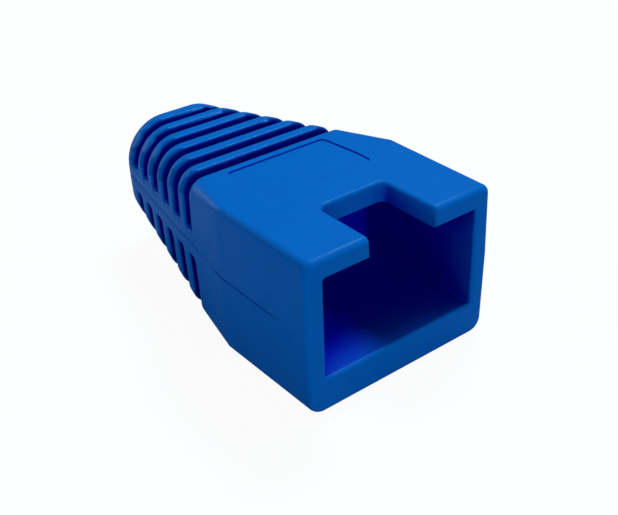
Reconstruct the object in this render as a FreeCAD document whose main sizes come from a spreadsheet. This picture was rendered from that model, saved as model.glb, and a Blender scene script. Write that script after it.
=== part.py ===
import FreeCAD, Part
import math
import os

import Sketcher
from FreeCAD import Vector

NODE = "strain_relief_boot"

# Driving sizes, in millimetres and degrees
SIZES = [
    # The plug cavity and the walls round it
    ("cavity_width", 11.7, "inside width, for the 11.68 mm body of a modular plug"),
    ("cavity_height", 6.8, "inside height, for the 6.6 mm body of the plug"),
    ("cavity_depth", 10.2, "from the mouth to the shoulder that the plug stops on"),
    ("cavity_corner", 0.5, "inside corner radius of the cavity"),
    ("side_wall", 1.3, "wall beside the cavity, at the parting line"),
    ("roof_wall", 1.35, "wall over the cavity"),
    ("floor_wall", 2.45, "wall under the cavity"),
    # The outer form
    ("block_length", 8.8, "straight front part"),
    ("shoulder_length", 3.85, "tapered part with a flat underside"),
    ("parting_rise", 0.1, "mould's parting line above the axis of the bore"),
    ("draft_angle", 1.4, "mould draft of the sides, above and below the parting line"),
    ("side_taper", 9.55, "angle of each side behind the block"),
    ("top_taper", 3.7, "angle of the top behind the block"),
    ("underside_rise", 5.0, "angle of the underside behind the shoulder"),
    ("block_top_radius", 0.4, "long top corners of the block"),
    ("block_bottom_radius", 0.6, "long bottom corners of the block"),
    ("shoulder_radius", 1.1, "all four long corners at the end of the shoulder"),
    ("tail_side", 0.63, "straight part of each side above the parting line, at the end of the tail"),
    # The flexible tail
    ("slot_land", 0.5, "from the shoulder to the first slot"),
    ("slot_count", 6, "slots above, and as many below"),
    ("slot_pitch", 2.0, "from one slot to the next"),
    ("slot_width", 0.97, "gap between two ribs"),
    ("slot_corner", 0.2, "radius at the foot of each slot"),
    ("end_rib", 1.28, "thickness of the last rib"),
    ("spine_height", 2.0, "height of the two side spines that join the ribs"),
    ("bore_rise", 0.3, "bore and spines above the middle of the block's height"),
    ("bore_diameter", 6.0, "bore of the closed collar that holds the round cable"),
    ("tail_relief", 0.2, "how much wider the bore is inside the ribs, to each side"),
    ("lead_in_depth", 0.5, "length of the cone at the bore's inner end"),
    ("lead_in_step", 0.13, "how much wider than the bore the cone begins, to each side"),
    # The notch for the plug's latch
    ("notch_width", 5.0, "across the boot"),
    ("notch_depth", 4.7, "back from the mouth"),
    ("notch_corner", 0.5, "plan radius of its two inner corners"),
    # The label panel on the top
    ("panel_width", 7.8, "across the boot"),
    ("panel_start", 7.25, "from the mouth to the panel"),
    ("panel_clearance", 0.8, "from the panel to the first slot"),
    ("panel_depth", 0.1, "depth of the recess"),
    ("panel_corner", 0.4, "plan radius of its corners"),
    # Softened edges
    ("rim_edge", 0.25, "edges of the front face and of the notch"),
    ("rib_edge", 0.2, "bevel on the outer edges of the slots"),
    ("tail_edge", 0.25, "bevel on the outer edge of the tail's end"),
    ("bore_edge", 0.2, "bevel on the rim of the bore at the tail's end"),
    ("cut_margin", 1.0, "how far the cutting profiles stand clear of the skin"),
]

# Sizes that follow from the driving ones
DERIVED = [
    ("body_width", "=cavity_width + 2 * side_wall"),
    ("body_height", "=floor_wall + cavity_height + roof_wall"),
    ("bore_height", "=body_height / 2 + bore_rise"),
    ("spine_bottom", "=bore_height - spine_height / 2"),
    ("spine_top", "=bore_height + spine_height / 2"),
    ("parting_height", "=bore_height + parting_rise"),
    ("shoulder_end", "=block_length + shoulder_length"),
    ("slot_start", "=shoulder_end + slot_land"),
    ("total_length", "=slot_start + (slot_count - 1) * slot_pitch + slot_width + end_rib"),
    ("shoulder_width", "=body_width - 2 * shoulder_length * tan(side_taper * 1deg)"),
    ("shoulder_top", "=body_height - shoulder_length * tan(top_taper * 1deg)"),
    ("tail_width", "=body_width - 2 * (total_length - block_length) * tan(side_taper * 1deg)"),
    ("tail_top", "=body_height - (total_length - block_length) * tan(top_taper * 1deg)"),
    ("tail_bottom", "=(total_length - shoulder_end) * tan(underside_rise * 1deg)"),
    ("tail_radius", "=tail_top - parting_height - tail_side"),
    ("bore_radius", "=bore_diameter / 2"),
    ("relief_radius", "=bore_radius + tail_relief"),
    ("cavity_top", "=floor_wall + cavity_height"),
    ("panel_end", "=slot_start - panel_clearance"),
    ("panel_end_top", "=body_height - (panel_end - block_length) * tan(top_taper * 1deg)"),
]

# How close an edge lies to a face that it is on, in millimetres
ON_SKIN = 1e-4
QUARTER_TURN = 90.0
FULL_TURN = 360.0


def fill_sheet(sheet):
    """Write every size to the sheet, one row each, with its name as the alias."""
    rows = [(alias, str(value), note) for alias, value, note in SIZES]
    rows += [(alias, formula, "follows from the others") for alias, formula in DERIVED]
    for row, (alias, content, note) in enumerate(rows, start=1):
        sheet.set(f"A{row}", alias)
        sheet.set(f"B{row}", content)
        sheet.set(f"C{row}", note)
        sheet.setAlias(f"B{row}", alias)


def origin_feature(body, role):
    """Return one of the body's own origin planes or axes."""
    for feature in body.Origin.OriginFeatures:
        if feature.Role == role:
            return feature
    raise ValueError(f"no origin feature {role}")


class SectionSpec:
    """One cross-section of the outer form, given by expressions on the sheet."""

    def __init__(self, name, station, width, top, bottom, top_radius, bottom_radius):
        self.name = name
        self.station = station
        self.width = width
        self.top = top
        self.bottom = bottom
        self.top_radius = top_radius
        self.bottom_radius = bottom_radius


SECTIONS = [
    SectionSpec("front_section", "0", "body_width", "body_height", "0",
                "block_top_radius", "block_bottom_radius"),
    SectionSpec("block_section", "block_length", "body_width", "body_height", "0",
                "block_top_radius", "block_bottom_radius"),
    SectionSpec("shoulder_section", "shoulder_end", "shoulder_width", "shoulder_top", "0",
                "shoulder_radius", "shoulder_radius"),
    SectionSpec("tail_section", "total_length", "tail_width", "tail_top", "tail_bottom",
                "tail_radius", "tail_radius"),
]


class BootBuilder:
    """Builds the boot as one body whose sizes all hang on the sheet."""

    def __init__(self):
        self.doc = FreeCAD.newDocument("boot")
        self.sheet = self.doc.addObject("Spreadsheet::Sheet", "sizes")
        fill_sheet(self.sheet)
        self.doc.recompute()
        self.body = self.doc.addObject("PartDesign::Body", "boot")
        self.body.Label = NODE

    def value(self, expression):
        """Return the present value of an expression on the sheet."""
        result = self.sheet.evalExpression(expression)
        return float(getattr(result, "Value", result))

    def tie(self, feature, prop, expression):
        """Tie a property of a feature to an expression on the sheet."""
        for alias in sorted((name for name, *_ in SIZES + DERIVED), key=len, reverse=True):
            expression = replace_word(expression, alias)
        feature.setExpression(prop, expression)

    def sketch(self, name, plane, offset="0", rise="0"):
        """Attach an empty sketch to an origin plane, moved along its normal and up the plane."""
        sketch = self.body.newObject("Sketcher::SketchObject", name)
        sketch.AttachmentSupport = [(origin_feature(self.body, plane), "")]
        sketch.MapMode = "FlatFace"
        self.tie(sketch, "AttachmentOffset.Base.z", offset)
        self.tie(sketch, "AttachmentOffset.Base.y", rise)
        return sketch

    def bind(self, sketch, name, kind, ends, expression):
        """Add a named dimension that follows the sheet, kept positive by the order of its ends."""
        size = self.value(expression)
        if size < 0:
            ends = ends[2:] + ends[:2]
            expression = f"-({expression})"
        index = sketch.addConstraint(Sketcher.Constraint(kind, *ends, abs(size)))
        sketch.renameConstraint(index, name)
        self.tie(sketch, f"Constraints.{name}", expression)

    def place(self, sketch, name, kind, curve, end, expression):
        """Set one coordinate of a curve's end from the sketch's origin."""
        if self.value(expression) == 0:
            axis = -2 if kind == "DistanceX" else -1
            sketch.addConstraint(Sketcher.Constraint("PointOnObject", curve, end, axis))
        else:
            self.bind(sketch, name, kind, (-1, 1, curve, end), expression)

    def rounded_box(self, sketch, label, sides, radius, rounded):
        """Draw a rectangle with some rounded corners.

        The sides are expressions for left, right, low and high. The corners run from the lower
        left one counter-clockwise, and each is rounded where its flag is set.
        """
        left, right, low, high = (self.value(side) for side in sides)
        size = self.value(radius)
        corners = [(left, low), (right, low), (right, high), (left, high)]
        inward = [(1, 1), (-1, 1), (-1, -1), (1, -1)]
        first = sketch.GeometryCount
        for number in range(4):
            start = corners[number]
            end = corners[(number + 1) % 4]
            along = (end[0] - start[0], end[1] - start[1])
            length = math.hypot(*along)
            along = (along[0] / length, along[1] / length)
            begin_gap = size if rounded[number] else 0.0
            end_gap = size if rounded[(number + 1) % 4] else 0.0
            begin = (start[0] + along[0] * begin_gap, start[1] + along[1] * begin_gap)
            stop = (end[0] - along[0] * end_gap, end[1] - along[1] * end_gap)
            sketch.addGeometry(line(begin, stop), False)
        arcs = []
        for number in range(4):
            before = first + (number + 3) % 4
            after = first + number
            if not rounded[number]:
                sketch.addConstraint(Sketcher.Constraint("Coincident", before, 2, after, 1))
                continue
            center = (corners[number][0] + inward[number][0] * size,
                      corners[number][1] + inward[number][1] * size)
            start_angle = QUARTER_TURN * (number + 2)
            curve = sketch.addGeometry(arc(center, size, start_angle, start_angle + QUARTER_TURN), False)
            sketch.addConstraint(Sketcher.Constraint("Tangent", before, 2, curve, 1))
            sketch.addConstraint(Sketcher.Constraint("Tangent", curve, 2, after, 1))
            if arcs:
                sketch.addConstraint(Sketcher.Constraint("Equal", arcs[0], curve))
            arcs.append(curve)
        for number in range(4):
            kind = "Vertical" if number % 2 else "Horizontal"
            sketch.addConstraint(Sketcher.Constraint(kind, first + number))
        if arcs:
            index = sketch.addConstraint(Sketcher.Constraint("Radius", arcs[0], size))
            sketch.renameConstraint(index, f"{label}_radius")
            self.tie(sketch, f"Constraints.{label}_radius", radius)
        self.place(sketch, f"{label}_left", "DistanceX", first + 3, 1, sides[0])
        self.place(sketch, f"{label}_right", "DistanceX", first + 1, 1, sides[1])
        self.place(sketch, f"{label}_low", "DistanceY", first, 1, sides[2])
        self.place(sketch, f"{label}_high", "DistanceY", first + 2, 1, sides[3])

    def polygon(self, sketch, label, points):
        """Draw a closed polygon from pairs of expressions."""
        places = [(self.value(x), self.value(y)) for x, y in points]
        count = len(points)
        for number in range(count):
            sketch.addGeometry(line(places[number], places[(number + 1) % count]), False)
        for number in range(count):
            sketch.addConstraint(Sketcher.Constraint("Coincident", (number - 1) % count, 2, number, 1))
            across, up = points[number]
            self.place(sketch, f"{label}_{number}_across", "DistanceX", number, 1, across)
            self.place(sketch, f"{label}_{number}_up", "DistanceY", number, 1, up)

    def section(self, spec):
        """Draw one cross-section: a rounded box whose sides lean in from the parting line.

        The curves run counter-clockwise from the bottom edge: bottom, corner, lower and upper side,
        corner, top, and the same down the left.
        """
        sketch = self.sketch(spec.name, "XZ_Plane", f"-({spec.station})")
        half = self.value(spec.width) / 2
        high = self.value(spec.top)
        low = self.value(spec.bottom)
        mid = self.value("parting_height")
        upper_r = self.value(spec.top_radius)
        lower_r = self.value(spec.bottom_radius)
        draft = self.value("draft_angle")
        lean = math.tan(math.radians(draft))
        upper_x = half - lean * (high - mid) - upper_r
        lower_x = half - lean * (mid - low) - lower_r
        upper_side = half - lean * (high - upper_r - mid)
        lower_side = half - lean * (mid - low - lower_r)
        curves = [
            line((-lower_x, low), (lower_x, low)),
            arc((lower_x, low + lower_r), lower_r, -QUARTER_TURN, -draft),
            line((lower_side, low + lower_r), (half, mid)),
            line((half, mid), (upper_side, high - upper_r)),
            arc((upper_x, high - upper_r), upper_r, draft, QUARTER_TURN),
            line((upper_x, high), (-upper_x, high)),
            arc((-upper_x, high - upper_r), upper_r, QUARTER_TURN, 2 * QUARTER_TURN - draft),
            line((-upper_side, high - upper_r), (-half, mid)),
            line((-half, mid), (-lower_side, low + lower_r)),
            arc((-lower_x, low + lower_r), lower_r, 2 * QUARTER_TURN + draft, 3 * QUARTER_TURN),
        ]
        sketch.addGeometry(curves, False)
        for first in (0, 1, 3, 4, 5, 6, 8, 9):
            sketch.addConstraint(Sketcher.Constraint("Tangent", first, 2, (first + 1) % 10, 1))
        for first in (2, 7):
            sketch.addConstraint(Sketcher.Constraint("Coincident", first, 2, first + 1, 1))
        sketch.addConstraint(Sketcher.Constraint("Symmetric", 0, 1, 0, 2, -2))
        sketch.addConstraint(Sketcher.Constraint("Symmetric", 5, 1, 5, 2, -2))
        sketch.addConstraint(Sketcher.Constraint("Symmetric", 3, 1, 8, 1, -2))
        sketch.addConstraint(Sketcher.Constraint("Equal", 1, 9))
        sketch.addConstraint(Sketcher.Constraint("Equal", 4, 6))
        self.place(sketch, "half_width", "DistanceX", 3, 1, f"{spec.width} / 2")
        self.place(sketch, "parting", "DistanceY", 3, 1, "parting_height")
        self.place(sketch, "top", "DistanceY", 5, 1, spec.top)
        self.place(sketch, "bottom", "DistanceY", 0, 1, spec.bottom)
        dimensions = [
            ("top_radius", Sketcher.Constraint("Radius", 4, upper_r), spec.top_radius),
            ("bottom_radius", Sketcher.Constraint("Radius", 1, lower_r), spec.bottom_radius),
            ("lower_draft", Sketcher.Constraint("Angle", 2, math.radians(QUARTER_TURN - draft)),
             "90deg - draft_angle * 1deg"),
            ("upper_draft", Sketcher.Constraint("Angle", 3, math.radians(QUARTER_TURN + draft)),
             "90deg + draft_angle * 1deg"),
        ]
        for name, constraint, expression in dimensions:
            index = sketch.addConstraint(constraint)
            sketch.renameConstraint(index, name)
            self.tie(sketch, f"Constraints.{name}", expression)
        return sketch

    def finish(self, feature):
        """Recompute, set the tip and make sure the feature did its work."""
        self.body.Tip = feature
        self.doc.recompute()
        shape = feature.Shape
        if "Invalid" in feature.State or shape.isNull() or not shape.isValid():
            raise RuntimeError(f"{feature.Name} did not build")
        if len(shape.Solids) != 1:
            raise RuntimeError(f"{feature.Name} left {len(shape.Solids)} solids")
        base = feature.BaseFeature
        if base and abs(shape.Volume - base.Shape.Volume) < ON_SKIN:
            raise RuntimeError(f"{feature.Name} changed nothing")
        print(f"{feature.Name}: {shape.Volume:.3f} mm3, {len(shape.Faces)} faces")
        return feature

    def pocket(self, name, sketch, length, midplane=False):
        """Cut a straight pocket."""
        pocket = self.body.newObject("PartDesign::Pocket", name)
        pocket.Profile = sketch
        pocket.Midplane = midplane
        self.tie(pocket, "Length", length)
        return self.finish(pocket)

    def dress(self, kind, name, size, chosen):
        """Fillet or chamfer the edges that the given test picks from the present shape."""
        base = self.body.Tip
        names = [f"Edge{number}" for number, edge in enumerate(base.Shape.Edges, start=1) if chosen(edge)]
        if not names:
            raise RuntimeError(f"{name} found no edges")
        feature = self.body.newObject(f"PartDesign::{kind}", name)
        feature.Base = (base, names)
        self.tie(feature, "Radius" if kind == "Fillet" else "Size", size)
        return self.finish(feature)

    def outer_form(self):
        """Loft the outer form straight from section to section, from the tail forwards."""
        sketches = [self.section(spec) for spec in reversed(SECTIONS)]
        loft = self.body.newObject("PartDesign::AdditiveLoft", "outer_form")
        loft.Profile = sketches[0]
        loft.Sections = sketches[1:]
        loft.Ruled = True
        return self.finish(loft)

    def plug_cavity(self):
        """Cut the cavity for the plug in from the mouth."""
        sketch = self.sketch("cavity_profile", "XZ_Plane")
        sides = ("-cavity_width / 2", "cavity_width / 2", "floor_wall", "cavity_top")
        self.rounded_box(sketch, "cavity", sides, "cavity_corner", (True, True, True, True))
        return self.pocket("plug_cavity", sketch, "cavity_depth")

    def latch_notch(self):
        """Cut the notch for the latch through the roof of the cavity."""
        sketch = self.sketch("notch_profile", "XY_Plane", "body_height + cut_margin")
        sides = ("-notch_width / 2", "notch_width / 2", "-cut_margin", "notch_depth")
        self.rounded_box(sketch, "notch", sides, "notch_corner", (False, False, True, True))
        return self.pocket("latch_notch", sketch, "roof_wall + 2 * cut_margin")

    def soften_mouth(self):
        """Round the edges of the front face and the notch's upper edges; its lower ones stay crisp."""
        top = self.value("body_height")
        half_notch = self.value("notch_width") / 2
        depth = self.value("notch_depth")

        def chosen(edge):
            box = edge.BoundBox
            if box.YMax < ON_SKIN:
                return True
            in_notch = max(abs(box.XMin), abs(box.XMax)) < half_notch + ON_SKIN
            in_notch = in_notch and box.YMax < depth + ON_SKIN
            return in_notch and box.ZMin > top - ON_SKIN

        return self.dress("Fillet", "soft_mouth", "rim_edge", chosen)

    def slots(self):
        """Cut the upper and lower slots across the tail and repeat them along it."""
        sketch = self.sketch("slot_profile", "YZ_Plane")
        upper = ("slot_start", "slot_start + slot_width", "spine_top", "body_height + cut_margin")
        lower = ("slot_start", "slot_start + slot_width", "-cut_margin", "spine_bottom")
        self.rounded_box(sketch, "upper", upper, "slot_corner", (True, True, False, False))
        self.rounded_box(sketch, "lower", lower, "slot_corner", (False, False, True, True))
        slot = self.pocket("first_slots", sketch, "body_width + 2 * cut_margin", midplane=True)
        pattern = self.body.newObject("PartDesign::LinearPattern", "all_slots")
        pattern.Originals = [slot]
        pattern.Direction = (origin_feature(self.body, "Y_Axis"), [""])
        self.tie(pattern, "Length", "(slot_count - 1) * slot_pitch")
        self.tie(pattern, "Occurrences", "slot_count")
        return self.finish(pattern)

    def soften_ribs(self, skin):
        """Bevel every edge where a slot breaks the skin."""
        start = self.value("slot_start") - ON_SKIN
        end = self.value("total_length") - self.value("end_rib") + ON_SKIN
        seams = [edge for edge in skin.Edges if edge.BoundBox.YMax > start]

        def chosen(edge):
            box = edge.BoundBox
            if box.YMin < start or box.YMax > end:
                return False
            point = Part.Vertex(edge.valueAt((edge.FirstParameter + edge.LastParameter) / 2))
            if skin.distToShape(point)[0] > ON_SKIN:
                return False
            return all(seam.distToShape(point)[0] > ON_SKIN for seam in seams)

        return self.dress("Chamfer", "soft_ribs", "rib_edge", chosen)

    def soften_tail(self):
        """Bevel the outer edge of the tail's end."""
        end = self.value("total_length") - ON_SKIN
        return self.dress("Chamfer", "soft_tail", "tail_edge", lambda edge: edge.BoundBox.YMin > end)

    def cable_bore(self):
        """Bore the boot for the cable: a lead-in, the closed collar, the relieved ribs and a bevelled rim."""
        sketch = self.sketch("bore_profile", "YZ_Plane", rise="bore_height")
        points = [
            ("cavity_depth", "0"),
            ("total_length", "0"),
            ("total_length", "relief_radius + bore_edge"),
            ("total_length - bore_edge", "relief_radius"),
            ("shoulder_end + tail_relief", "relief_radius"),
            ("shoulder_end", "bore_radius"),
            ("cavity_depth + lead_in_depth", "bore_radius"),
            ("cavity_depth", "bore_radius + lead_in_step"),
        ]
        self.polygon(sketch, "bore", points)
        bore = self.body.newObject("PartDesign::Groove", "cable_bore")
        bore.Profile = sketch
        bore.ReferenceAxis = (sketch, ["H_Axis"])
        bore.Angle = FULL_TURN
        return self.finish(bore)

    def label_panel(self):
        """Sink the shallow label panel, whose floor follows the top's bend."""
        sketch = self.sketch("panel_profile", "YZ_Plane")
        points = [
            ("panel_start", "body_height - panel_depth"),
            ("block_length", "body_height - panel_depth"),
            ("panel_end", "panel_end_top - panel_depth"),
            ("panel_end", "body_height + cut_margin"),
            ("panel_start", "body_height + cut_margin"),
        ]
        self.polygon(sketch, "panel", points)
        self.pocket("label_panel", sketch, "panel_width", midplane=True)
        half = self.value("panel_width") / 2
        depth = self.value("panel_depth")
        start = self.value("panel_start")
        end = self.value("panel_end")

        def chosen(edge):
            box = edge.BoundBox
            upright = box.XMax - box.XMin < ON_SKIN and box.YMax - box.YMin < depth
            at_side = abs(abs(box.XMax) - half) < ON_SKIN
            at_end = abs(box.YMax - start) < ON_SKIN or abs(box.YMax - end) < ON_SKIN
            return upright and at_side and at_end and box.ZMax - box.ZMin < 2 * depth

        return self.dress("Fillet", "panel_corners", "panel_corner", chosen)

    def build(self):
        """Build every feature in turn and return the body."""
        self.outer_form()
        skin = self.soften_tail().Shape.Shells[0]
        self.plug_cavity()
        self.latch_notch()
        self.soften_mouth()
        self.label_panel()
        self.cable_bore()
        self.slots()
        self.soften_ribs(skin)
        self.tie(self.body, "Placement.Base.y", "-total_length / 2")
        self.doc.recompute()
        return self.body


def replace_word(expression, alias):
    """Write an alias in an expression as a cell of the sheet, once per occurrence."""
    words = []
    word = ""
    for letter in expression + " ":
        if letter.isalnum() or letter in "_.":
            word += letter
            continue
        words.append(f"sizes.{word}" if word == alias else word)
        words.append(letter)
        word = ""
    return "".join(words).strip()


def arc(center, radius, start_deg, end_deg):
    """Return an arc about a centre, counter-clockwise between two angles."""
    circle = Part.Circle(Vector(center[0], center[1], 0), Vector(0, 0, 1), radius)
    return Part.ArcOfCircle(circle, math.radians(start_deg), math.radians(end_deg))


def line(start, end):
    """Return a straight sketch line between two points."""
    return Part.LineSegment(Vector(start[0], start[1], 0), Vector(end[0], end[1], 0))


def main():
    """Build the boot, check every object and write its STEP file."""
    os.makedirs("parts", exist_ok=True)
    builder = BootBuilder()
    body = builder.build()
    for item in builder.doc.Objects:
        if "Invalid" in item.State or "Error" in item.State:
            raise RuntimeError(f"{item.Name} is in error")
    shape = body.Shape
    if shape.isNull() or not shape.isValid() or len(shape.Solids) != 1:
        raise RuntimeError("the boot is not one valid solid")
    shape.exportStep(f"parts/{NODE}.step")
    box = shape.BoundBox
    print(f"size {box.XLength:.3f} x {box.YLength:.3f} x {box.ZLength:.3f} mm")
    center = shape.Solids[0].CenterOfMass
    print(f"volume {shape.Volume:.2f} mm3, centre of mass {center.x:.2f}, {center.y:.2f}, {center.z:.2f}")


main()
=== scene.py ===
import logging
import math
from dataclasses import dataclass, field
from enum import Enum
from typing import Optional

import bpy
from mathutils import Matrix, Vector


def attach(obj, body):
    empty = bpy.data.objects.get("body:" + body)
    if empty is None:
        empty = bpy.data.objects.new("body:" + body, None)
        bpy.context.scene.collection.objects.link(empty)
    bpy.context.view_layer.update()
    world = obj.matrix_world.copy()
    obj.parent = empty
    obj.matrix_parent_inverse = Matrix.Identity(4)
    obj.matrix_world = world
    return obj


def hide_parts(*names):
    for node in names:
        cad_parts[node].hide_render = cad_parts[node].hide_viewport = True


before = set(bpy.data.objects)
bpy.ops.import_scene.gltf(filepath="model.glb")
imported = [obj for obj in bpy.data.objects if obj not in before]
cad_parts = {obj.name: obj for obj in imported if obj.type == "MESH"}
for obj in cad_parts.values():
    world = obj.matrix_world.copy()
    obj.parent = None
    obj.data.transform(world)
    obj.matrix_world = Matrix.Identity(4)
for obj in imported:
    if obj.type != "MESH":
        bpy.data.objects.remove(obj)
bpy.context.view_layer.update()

NODE = "strain_relief_boot"
BODY = "root"
MM = 0.001
CORNER_SLACK_MM = 0.002

log = logging.getLogger("boot")


class Level(Enum):
    """Where a corner of the section lies, as the sign of its way up."""

    TOP = 1.0
    BOTTOM = -1.0


def linear(hex_code: str) -> tuple[float, float, float, float]:
    """Turn an sRGB hex value into the linear colour that the shaders take.

    Args:
        hex_code: Six hex digits, such as "0A5EB9".

    Returns:
        Linear red, green, blue and an alpha of one.
    """
    channels = []
    for start in (0, 2, 4):
        value = int(hex_code[start:start + 2], 16) / 255.0
        channels.append(value / 12.92 if value <= 0.04045 else ((value + 0.055) / 1.055) ** 2.4)
    return (channels[0], channels[1], channels[2], 1.0)


def add_node(tree: bpy.types.NodeTree, kind: str, settings: Optional[dict] = None,
             inputs: Optional[dict] = None) -> bpy.types.Node:
    """Add one node with its settings, values and links.

    Args:
        tree: The node tree to add to.
        kind: The node's type name.
        settings: Attribute names and values of the node itself.
        inputs: Socket names or numbers with a value, or with an output socket to link.

    Returns:
        The new node.
    """
    node = tree.nodes.new(kind)
    for name, value in (settings or {}).items():
        setattr(node, name, value)
    for name, value in (inputs or {}).items():
        if isinstance(value, bpy.types.NodeSocket):
            tree.links.new(value, node.inputs[name])
        else:
            node.inputs[name].default_value = value
    return node


def deselect_all() -> None:
    """Leave object mode with nothing selected and nothing active."""
    if bpy.context.object and bpy.context.object.mode != "OBJECT":
        bpy.ops.object.mode_set(mode="OBJECT")
    bpy.ops.object.select_all(action="DESELECT")
    bpy.context.view_layer.objects.active = None


def select_only(obj: bpy.types.Object) -> None:
    """Make one object the only selected one and the active one."""
    deselect_all()
    obj.select_set(True)
    bpy.context.view_layer.objects.active = obj


@dataclass(frozen=True)
class MouldedSoftPvc:
    """Soft PVC as injection moulded, in patch-cord blue.

    Plasticised PVC takes a fine matt grain from the spark-eroded steel of its mould. The eye gets a
    deep even blue, a greyish sheen where it looks along a face, and broken glints on rounded edges.
    Recesses that ambient occlusion finds shut in are painted a purer, deeper blue: painted shade,
    not a colour of the plastic. The grain is drawn at 0.11 mm, about twice the real one, so that it
    shows.
    """

    name: str = "PVC soft moulded blue"
    base: str = "006BCE"
    base_thin: str = "0065C6"
    # Painted shade: the deeper blue mixed in where ambient occlusion finds a recess shut in.
    painted_shade: str = "0000B4"
    sheen: str = "50DAFF"
    ior: float = 1.5
    specular: float = 0.06
    roughness: float = 0.36
    roughness_swing: float = 0.18
    grain_mm: float = 0.11
    grain_depth_mm: float = 0.010
    ripple_mm: float = 1.6
    ripple_depth_mm: float = 0.01
    # Reach, thresholds and samples of the ambient occlusion that places the painted shade.
    painted_shade_reach_mm: float = 14.0
    painted_shade_open: float = 0.78
    painted_shade_shut: float = 0.42
    painted_shade_samples: int = 8
    noise_detail: float = 2.0
    noise_roughness: float = 0.6
    grain_low: float = 0.3
    grain_high: float = 0.7

    def noise(self, tree: bpy.types.NodeTree, place: bpy.types.NodeSocket,
              size_mm: float) -> bpy.types.NodeSocket:
        """Add a noise of a real size.

        Args:
            tree: The material's node tree.
            place: Object coordinates.
            size_mm: The width of one cell.

        Returns:
            The noise's value.
        """
        cells = add_node(tree, "ShaderNodeTexNoise", {"noise_dimensions": "3D"},
                         {"Vector": place, "Scale": 1.0 / (size_mm * MM),
                          "Detail": self.noise_detail, "Roughness": self.noise_roughness})
        return cells.outputs["Fac"]

    def colour(self, tree: bpy.types.NodeTree, ripple: bpy.types.NodeSocket) -> bpy.types.NodeSocket:
        """Add the blue, uneven by a trace, with painted shade: a purer, deeper blue inside the recesses.

        Args:
            tree: The material's node tree.
            ripple: The broad noise.

        Returns:
            The colour.
        """
        skin = add_node(tree, "ShaderNodeMix", {"data_type": "RGBA"}, {"Factor": ripple})
        skin.inputs["A"].default_value = linear(self.base_thin)
        skin.inputs["B"].default_value = linear(self.base)
        # Painted shade: the boot's own ambient occlusion mixes the blue towards a deeper blue in slots,
        # cavity and bore.
        painted_shade_ao = add_node(tree, "ShaderNodeAmbientOcclusion",
                            {"samples": self.painted_shade_samples, "only_local": True},
                            {"Distance": self.painted_shade_reach_mm * MM})
        share = add_node(tree, "ShaderNodeMapRange", {},
                         {"Value": painted_shade_ao.outputs["AO"], "From Min": self.painted_shade_shut,
                          "From Max": self.painted_shade_open})
        painted_shade_mix = add_node(tree, "ShaderNodeMix", {"data_type": "RGBA"},
                         {"Factor": share.outputs["Result"]})
        painted_shade_mix.inputs["A"].default_value = linear(self.painted_shade)
        tree.links.new(skin.outputs["Result"], painted_shade_mix.inputs["B"])
        return painted_shade_mix.outputs["Result"]

    def build(self) -> bpy.types.Material:
        """Make the node material.

        Returns:
            The finished material.
        """
        material = bpy.data.materials.new(self.name)
        material.use_nodes = True
        tree = material.node_tree
        tree.nodes.clear()
        place = add_node(tree, "ShaderNodeTexCoord").outputs["Object"]
        grain = self.noise(tree, place, self.grain_mm)
        ripple = self.noise(tree, place, self.ripple_mm)
        polish = add_node(tree, "ShaderNodeMapRange", {},
                          {"Value": grain, "From Min": self.grain_low, "From Max": self.grain_high,
                           "To Min": self.roughness - self.roughness_swing,
                           "To Max": self.roughness + self.roughness_swing})
        fine = add_node(tree, "ShaderNodeBump", {},
                        {"Height": grain, "Distance": self.grain_depth_mm * MM, "Strength": 1.0})
        broad = add_node(tree, "ShaderNodeBump", {},
                         {"Height": ripple, "Distance": self.ripple_depth_mm * MM, "Strength": 1.0,
                          "Normal": fine.outputs["Normal"]})
        shader = add_node(tree, "ShaderNodeBsdfPrincipled", {},
                          {"Base Color": self.colour(tree, ripple), "Roughness": polish.outputs["Result"],
                           "IOR": self.ior, "Specular IOR Level": self.specular,
                           "Specular Tint": linear(self.sheen), "Normal": broad.outputs["Normal"]})
        add_node(tree, "ShaderNodeOutputMaterial", {}, {"Surface": shader.outputs["BSDF"]})
        return material


@dataclass(frozen=True)
class Corner:
    """A left and right pair of rounded corners of the section, and how much wider they get.

    Points count as on the rounding between the least and the most reach from its centre, and up to
    behind_mm along the boot. A negative wider_mm makes the corner sharper.
    """

    level: Level
    centre_x_mm: float
    centre_z_mm: float
    least_mm: float
    most_mm: float
    behind_mm: float
    wider_mm: float

    def move(self, place_mm: Vector) -> None:
        """Move a point of the rounding to where the changed radius has it.

        Args:
            place_mm: The point, in millimetres, which is changed in place.
        """
        side = math.copysign(1.0, place_mm.x)
        out = abs(place_mm.x) - self.centre_x_mm
        rise = self.level.value * (place_mm.z - self.centre_z_mm)
        reach = math.hypot(out, rise)
        is_on_rounding = min(out, rise) > -CORNER_SLACK_MM and self.least_mm < reach < self.most_mm
        if place_mm.y > self.behind_mm or not is_on_rounding:
            return
        place_mm.x -= side * self.wider_mm * (1.0 - out / reach)
        place_mm.z -= self.level.value * self.wider_mm * (1.0 - rise / reach)


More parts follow.
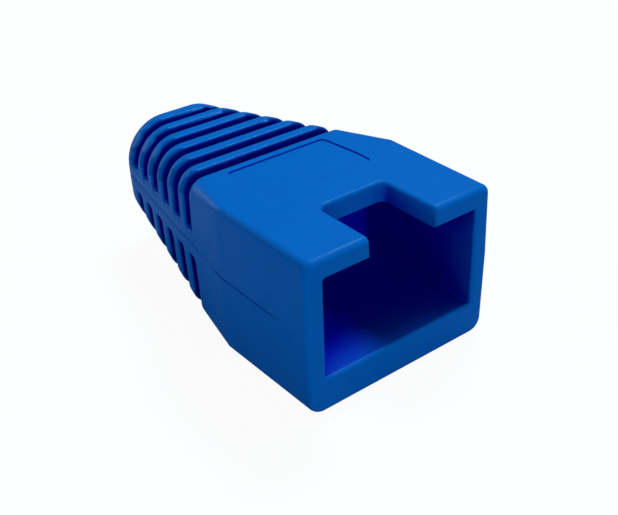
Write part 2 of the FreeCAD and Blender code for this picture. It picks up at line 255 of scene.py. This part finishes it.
@dataclass
class BootMoulding:
    """The boot itself, taken from the CAD solid and finished as a moulding."""

    finish: MouldedSoftPvc = field(default_factory=MouldedSoftPvc)
    weld_mm: float = 0.0005
    cut_reach_mm: float = 0.001
    flat_deg: float = 0.3
    corners: tuple[Corner, ...] = (
        Corner(Level.TOP, 5.35, 8.75, 0.45, 0.8, -2.4, -0.35),
        Corner(Level.BOTTOM, 5.35, 2.95, 0.45, 0.8, -2.4, -0.35),
        Corner(Level.TOP, 6.64, 10.2, 0.1, 0.42, -12.4, 0.15),
        Corner(Level.BOTTOM, 6.425, 0.6, 0.1, 0.62, -12.4, 0.4),
    )
    rim_start_mm: float = -12.45
    rim_radius_mm: float = 0.25
    rim_wider_mm: float = 0.2
    rim_half_top_mm: float = 6.49
    rim_half_bottom_mm: float = 6.025
    rim_top_mm: float = 10.05
    rim_bottom_mm: float = 1.0
    skin_half_mm: float = 6.3
    parting_height_mm: float = 5.7
    groove_half_mm: float = 0.06
    groove_depth_mm: float = 0.22
    groove_fade_mm: float = -9.5
    cavity_half_mm: float = 5.95
    cavity_end_mm: float = -2.4
    bore_radius_mm: float = 3.45
    bore_height_mm: float = 5.6
    kink_mm: float = -3.9
    kink_soft_mm: float = 0.35
    shoulder_mm: float = -0.05
    smooth_angle_deg: float = 50.0
    block_angle_deg: float = 30.0

    def copy_solid(self) -> bpy.types.Object:
        """Copy the CAD solid's mesh and weld its loose triangles.

        Returns:
            The new object, with its mesh in the part's frame.
        """
        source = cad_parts[NODE]
        mesh = source.data.copy()
        mesh.materials.clear()
        boot = bpy.data.objects.new("moulded_boot", mesh)
        bpy.context.scene.collection.objects.link(boot)
        select_only(boot)
        bpy.ops.object.mode_set(mode="EDIT")
        bpy.ops.mesh.select_all(action="SELECT")
        bpy.ops.mesh.remove_doubles(threshold=self.weld_mm * MM)
        bpy.ops.mesh.normals_make_consistent(inside=False)
        bpy.ops.mesh.dissolve_limited(angle_limit=math.radians(self.flat_deg))
        bpy.ops.object.mode_set(mode="OBJECT")
        return boot

    def cut(self, boot: bpy.types.Object, point_mm: tuple[float, float, float],
            normal: tuple[float, float, float]) -> None:
        """Cut a line of new edges all round the moulding, with nothing taken away.

        Args:
            boot: The moulding.
            point_mm: A point of the cutting plane.
            normal: The plane's normal.
        """
        select_only(boot)
        bpy.ops.object.mode_set(mode="EDIT")
        bpy.ops.mesh.select_all(action="SELECT")
        bpy.ops.mesh.bisect(plane_co=Vector(point_mm) * MM, plane_no=normal, use_fill=False,
                            clear_inner=False, clear_outer=False,
                            threshold=self.cut_reach_mm * MM)
        bpy.ops.object.mode_set(mode="OBJECT")

    def soften_bends(self, boot: bpy.types.Object) -> None:
        """Cut lines beside the bends of the skin, so that its shading turns within a narrow strip.

        Args:
            boot: The moulding.
        """
        for middle in (self.kink_mm, self.shoulder_mm):
            for step in (-self.kink_soft_mm, self.kink_soft_mm):
                self.cut(boot, (0.0, middle + step, 0.0), (0.0, 1.0, 0.0))

    def widen_rim(self, place_mm: Vector) -> None:
        """Widen the rounding round the front face's outer edge.

        Args:
            place_mm: A point of the mesh, in millimetres, which is changed in place.
        """
        is_between = self.rim_bottom_mm < place_mm.z < self.rim_top_mm
        is_inner = is_between and abs(place_mm.x) < self.skin_half_mm
        if place_mm.y > self.rim_start_mm + self.cut_reach_mm or is_inner:
            return
        is_upper = place_mm.z > self.parting_height_mm
        half_mm = self.rim_half_top_mm if is_upper else self.rim_half_bottom_mm
        out = max(abs(place_mm.x) - half_mm, 0.0)
        rise = max(place_mm.z - self.rim_top_mm, 0.0) - max(self.rim_bottom_mm - place_mm.z, 0.0)
        reach = math.hypot(out, rise)
        if reach == 0.0:
            return
        front = min((self.rim_start_mm - place_mm.y) / self.rim_radius_mm, 1.0)
        inward = self.rim_wider_mm * (1.0 - math.sqrt(max(1.0 - front * front, 0.0)))
        place_mm.x -= math.copysign(inward * out / reach, place_mm.x)
        place_mm.z -= inward * rise / reach
        place_mm.y += self.rim_wider_mm * (1.0 - max(front, 0.0))

    def reshape(self, boot: bpy.types.Object) -> None:
        """Sharpen the cavity's corners and widen the front's outer roundings, as the photograph has them.

        Args:
            boot: The moulding.
        """
        for vertex in boot.data.vertices:
            place_mm = vertex.co / MM
            for corner in self.corners:
                corner.move(place_mm)
            self.widen_rim(place_mm)
            vertex.co = place_mm * MM

    def on_skin(self, place_mm: Vector) -> bool:
        """Say whether a point is outside the cavity and the bore.

        Args:
            place_mm: The point, in millimetres.

        Returns:
            True for a point of the outer skin.
        """
        if place_mm.y < self.cavity_end_mm and abs(place_mm.x) < self.cavity_half_mm:
            return False
        return math.hypot(place_mm.x, place_mm.z - self.bore_height_mm) > self.bore_radius_mm

    def draw_parting_line(self, boot: bpy.types.Object) -> None:
        """Sink a fine groove where the halves of the mould met, which fades out towards the front.

        Args:
            boot: The moulding.
        """
        self.cut(boot, (0.0, self.groove_fade_mm, 0.0), (0.0, 1.0, 0.0))
        for step in (-self.groove_half_mm, 0.0, self.groove_half_mm):
            self.cut(boot, (0.0, 0.0, self.parting_height_mm + step), (0.0, 0.0, 1.0))
        for vertex in boot.data.vertices:
            place_mm = vertex.co / MM
            is_middle = abs(place_mm.z - self.parting_height_mm) < self.groove_half_mm / 2
            if is_middle and self.on_skin(place_mm):
                share = (place_mm.y - self.groove_fade_mm) / (self.kink_mm - self.groove_fade_mm)
                depth = self.groove_depth_mm * min(max(share, 0.0), 1.0)
                vertex.co.x -= math.copysign(depth * MM, vertex.co.x)

    def crease_block(self, boot: bpy.types.Object) -> None:
        """Keep the block's and shoulder's corners crisp, which turn less sharply than the ribs' edges.

        Args:
            boot: The moulding.
        """
        bpy.ops.object.mode_set(mode="EDIT")
        bpy.ops.mesh.select_mode(type="EDGE")
        bpy.ops.mesh.select_all(action="DESELECT")
        bpy.ops.mesh.edges_select_sharp(sharpness=math.radians(self.block_angle_deg))
        bpy.ops.object.mode_set(mode="OBJECT")
        for edge in boot.data.edges:
            is_ahead = all(boot.data.vertices[end].co.y < self.shoulder_mm * MM for end in edge.vertices)
            edge.select = edge.select and is_ahead
        bpy.ops.object.mode_set(mode="EDIT")
        bpy.ops.mesh.mark_sharp()
        bpy.ops.object.mode_set(mode="OBJECT")

    def smooth(self, boot: bpy.types.Object) -> None:
        """Smooth the shading across the rounded edges and keep the flats flat.

        Args:
            boot: The moulding.
        """
        select_only(boot)
        bpy.ops.object.shade_smooth_by_angle(angle=math.radians(self.smooth_angle_deg))
        self.crease_block(boot)
        weighted = boot.modifiers.new("face_weights", "WEIGHTED_NORMAL")
        weighted.mode = "FACE_AREA_WITH_ANGLE"
        weighted.keep_sharp = True
        bpy.ops.object.modifier_apply(modifier=weighted.name)

    def build(self) -> bpy.types.Object:
        """Build the moulding, dress it and let it ride.

        Returns:
            The finished piece.
        """
        boot = self.copy_solid()
        self.reshape(boot)
        self.soften_bends(boot)
        self.draw_parting_line(boot)
        self.smooth(boot)
        boot.data.materials.append(self.finish.build())
        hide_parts(NODE)
        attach(boot, BODY)
        log.info("%s: %d faces", boot.name, len(boot.data.polygons))
        return boot


@dataclass(frozen=True)
class Lamp:
    """One square lamp that looks at the boot."""

    name: str
    place_mm: tuple[float, float, float]
    size_mm: float
    power_w: float


@dataclass
class Studio:
    """The floor, the world and the lamps."""

    floor_size_mm: float = 3000.0
    paper: str = "8CA4B8"
    ambient: float = 0.05
    aim_mm: tuple[float, float, float] = (0.0, 0.0, 5.0)
    floor_glow: float = 0.87
    glow_strength: float = 1.09
    lamps: tuple[Lamp, ...] = (
        Lamp("key_lamp", (123.0, -27.0, 240.0), 60.0, 0.12),
        Lamp("key_back_lamp", (123.0, 60.0, 230.0), 60.0, 0.46),
        Lamp("left_lamp", (-240.0, 0.0, 80.0), 150.0, 0.10),
        Lamp("front_lamp", (-40.0, -250.0, 60.0), 150.0, 0.23),
        Lamp("back_left_lamp", (-90.0, 240.0, 60.0), 150.0, 0.14),
        Lamp("back_high_lamp", (30.0, 150.0, 220.0), 120.0, 0.02),
    )

    def floor(self) -> bpy.types.Object:
        """Lay the pale floor, which stays white to the camera and keeps the object's shadow.

        Returns:
            The floor.
        """
        deselect_all()
        bpy.ops.mesh.primitive_plane_add(size=self.floor_size_mm * MM, location=(0.0, 0.0, 0.0))
        floor = bpy.context.object
        floor.name = "floor"
        material = bpy.data.materials.new("paper white sweep")
        material.use_nodes = True
        tree = material.node_tree
        tree.nodes.clear()
        rays = add_node(tree, "ShaderNodeLightPath")
        paper = add_node(tree, "ShaderNodeBsdfDiffuse", {}, {"Color": linear(self.paper)})
        glow = add_node(tree, "ShaderNodeEmission", {},
                        {"Color": linear("FFFFFF"), "Strength": self.glow_strength})
        share = add_node(tree, "ShaderNodeMath", {"operation": "MULTIPLY"},
                         {0: rays.outputs["Is Camera Ray"], 1: self.floor_glow})
        mix = add_node(tree, "ShaderNodeMixShader", {},
                       {0: share.outputs[0], 1: paper.outputs[0], 2: glow.outputs[0]})
        add_node(tree, "ShaderNodeOutputMaterial", {}, {"Surface": mix.outputs[0]})
        floor.data.materials.append(material)
        return floor

    def world(self) -> None:
        """Light the room evenly and show the camera a white backdrop."""
        world = bpy.data.worlds.new("studio")
        world.use_nodes = True
        tree = world.node_tree
        tree.nodes.clear()
        rays = add_node(tree, "ShaderNodeLightPath")
        white = linear("FFFFFF")
        room = add_node(tree, "ShaderNodeBackground", {}, {"Color": white, "Strength": self.ambient})
        backdrop = add_node(tree, "ShaderNodeBackground", {}, {"Color": white, "Strength": 1.0})
        mix = add_node(tree, "ShaderNodeMixShader", {},
                       {0: rays.outputs["Is Camera Ray"], 1: room.outputs[0], 2: backdrop.outputs[0]})
        add_node(tree, "ShaderNodeOutputWorld", {}, {"Surface": mix.outputs[0]})
        bpy.context.scene.world = world

    def hang(self, lamp: Lamp) -> None:
        """Hang one lamp and turn it to the boot.

        Args:
            lamp: The lamp.
        """
        light = bpy.data.lights.new(lamp.name, "AREA")
        light.shape = "SQUARE"
        light.size = lamp.size_mm * MM
        light.energy = lamp.power_w
        hung = bpy.data.objects.new(lamp.name, light)
        place = Vector(lamp.place_mm) * MM
        hung.location = place
        hung.rotation_euler = (place - Vector(self.aim_mm) * MM).to_track_quat("Z", "Y").to_euler()
        bpy.context.scene.collection.objects.link(hung)

    def build(self) -> None:
        """Set up the whole studio."""
        self.floor()
        self.world()
        for lamp in self.lamps:
            self.hang(lamp)
        log.info("studio set with %d lamps", len(self.lamps))


@dataclass
class ViewPoint:
    """The camera, at the photograph's angle."""

    azimuth_deg: float = -36.484
    elevation_deg: float = 31.768
    roll_deg: float = -2.419
    distance_mm: float = 59.598
    across_mm: float = -5.762
    up_mm: float = 7.054
    mouth_to_middle_mm: float = 12.7
    sensor_mm: float = 36.0
    focal_px: float = 961.702
    image_width_px: float = 618.0
    clip_near_mm: float = 1.0
    clip_far_mm: float = 10000.0

    def build(self) -> bpy.types.Object:
        """Make the camera and set it as the scene's.

        Returns:
            The camera.
        """
        azimuth = math.radians(self.azimuth_deg)
        elevation = math.radians(self.elevation_deg)
        roll = math.radians(self.roll_deg)
        back = Vector((math.sin(azimuth) * math.cos(elevation),
                       -math.cos(azimuth) * math.cos(elevation),
                       math.sin(elevation)))
        level = Vector((0.0, 0.0, 1.0)).cross(back).normalized()
        upright = back.cross(level)
        right = math.cos(roll) * level + math.sin(roll) * upright
        up = -math.sin(roll) * level + math.cos(roll) * upright
        place = back * self.distance_mm + right * self.across_mm + up * self.up_mm
        place.y -= self.mouth_to_middle_mm
        data = bpy.data.cameras.new("camera")
        data.sensor_width = self.sensor_mm
        data.lens = self.focal_px / self.image_width_px * self.sensor_mm
        data.clip_start = self.clip_near_mm * MM
        data.clip_end = self.clip_far_mm * MM
        camera = bpy.data.objects.new("camera", data)
        turn = Matrix((right, up, back)).transposed()
        camera.matrix_world = Matrix.Translation(place * MM) @ turn.to_4x4()
        bpy.context.scene.collection.objects.link(camera)
        bpy.context.scene.camera = camera
        log.info("camera set")
        return camera


def main() -> None:
    """Build the scene."""
    logging.basicConfig(level=logging.INFO, format="%(name)s: %(message)s")
    bpy.context.scene.view_settings.view_transform = "Standard"
    ViewPoint().build()
    BootMoulding().build()
    Studio().build()


if __name__ == "__main__":
    main()
